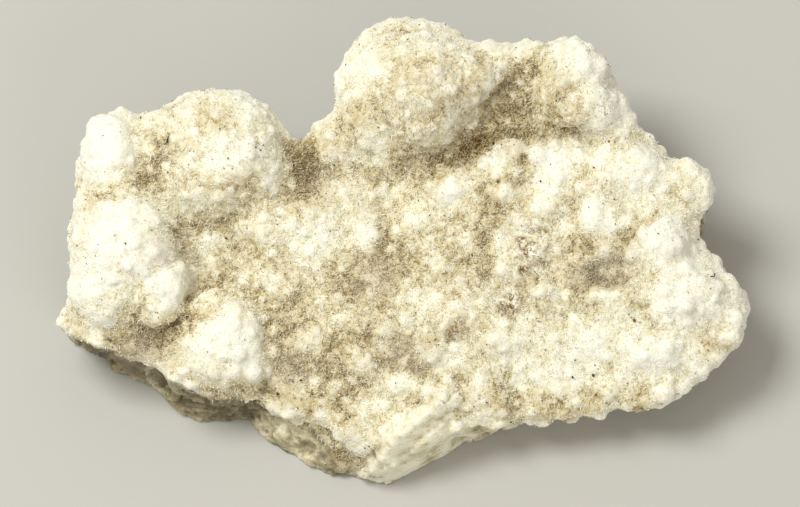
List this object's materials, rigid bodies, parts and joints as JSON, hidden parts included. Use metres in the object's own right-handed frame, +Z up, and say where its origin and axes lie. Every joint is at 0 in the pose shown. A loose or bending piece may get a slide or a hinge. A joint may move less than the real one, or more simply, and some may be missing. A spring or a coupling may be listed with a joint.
{
  "type": "mineral specimen",
  "caption": "Cream-white hydromagnesite hand specimen: a lumpy, finely crystalline crust on a broken base, standing on its flat break.",
  "frame": {"origin": "centre of the bounding box's underside, on the surface that the specimen rests on", "axes": "+Z up; +X along the specimen's length; the crust faces up and towards -Y"},
  "size_m": [0.09, 0.0568, 0.03],
  "materials": {
    "crust": "chalk-white to cream crystalline crust, tan in its hollows, matt and sugary",
    "crystals": "tiny white blades and needles with a silky sheen",
    "specks": "scattered dark brown grains",
    "fibre": "two short black fibres lying on the crust"
  },
  "bodies": {
    "root": {"hydromagnesite": "crust"}
  },
  "joints": []
}
